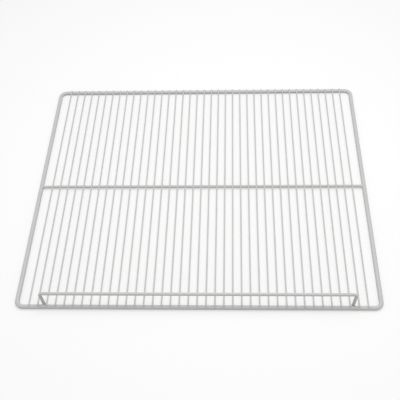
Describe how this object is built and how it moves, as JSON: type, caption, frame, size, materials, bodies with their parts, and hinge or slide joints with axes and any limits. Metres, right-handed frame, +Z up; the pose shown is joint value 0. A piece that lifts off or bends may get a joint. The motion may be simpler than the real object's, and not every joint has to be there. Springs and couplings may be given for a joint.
{
  "type": "refrigerator shelf",
  "caption": "Flat wire shelf for a refrigerator: a round-cornered rod frame, parallel deck wires over a crossbar, and a raised stop bar along one long edge.",
  "frame": {"origin": "middle of the shelf's footprint, on the plane that its frame rests on", "axes": "+X along the stop bar, +Y from the stop bar's edge towards the opposite edge, +Z up"},
  "size_m": [0.6234, 0.541, 0.038],
  "materials": {
    "coated_steel": "satin"
  },
  "bodies": {
    "root": {"perimeter_frame": "coated_steel", "crossbar": "coated_steel", "stop_bar": "coated_steel", "deck_wire_01": "coated_steel", "deck_wire_02": "coated_steel", "deck_wire_03": "coated_steel", "deck_wire_04": "coated_steel", "deck_wire_05": "coated_steel", "deck_wire_06": "coated_steel", "deck_wire_07": "coated_steel", "deck_wire_08": "coated_steel", "deck_wire_09": "coated_steel", "deck_wire_10": "coated_steel", "deck_wire_11": "coated_steel", "deck_wire_12": "coated_steel", "deck_wire_13": "coated_steel", "deck_wire_14": "coated_steel", "deck_wire_15": "coated_steel", "deck_wire_16": "coated_steel", "deck_wire_17": "coated_steel", "deck_wire_18": "coated_steel", "deck_wire_19": "coated_steel", "deck_wire_20": "coated_steel", "deck_wire_21": "coated_steel", "deck_wire_22": "coated_steel", "deck_wire_23": "coated_steel", "deck_wire_24": "coated_steel", "deck_wire_25": "coated_steel", "deck_wire_26": "coated_steel", "deck_wire_27": "coated_steel", "deck_wire_28": "coated_steel", "deck_wire_29": "coated_steel", "deck_wire_30": "coated_steel", "deck_wire_31": "coated_steel", "deck_wire_32": "coated_steel", "deck_wire_33": "coated_steel", "deck_wire_34": "coated_steel", "deck_wire_35": "coated_steel", "deck_wire_36": "coated_steel", "deck_wire_37": "coated_steel", "deck_wire_38": "coated_steel", "deck_wire_39": "coated_steel"}
  },
  "joints": []
}
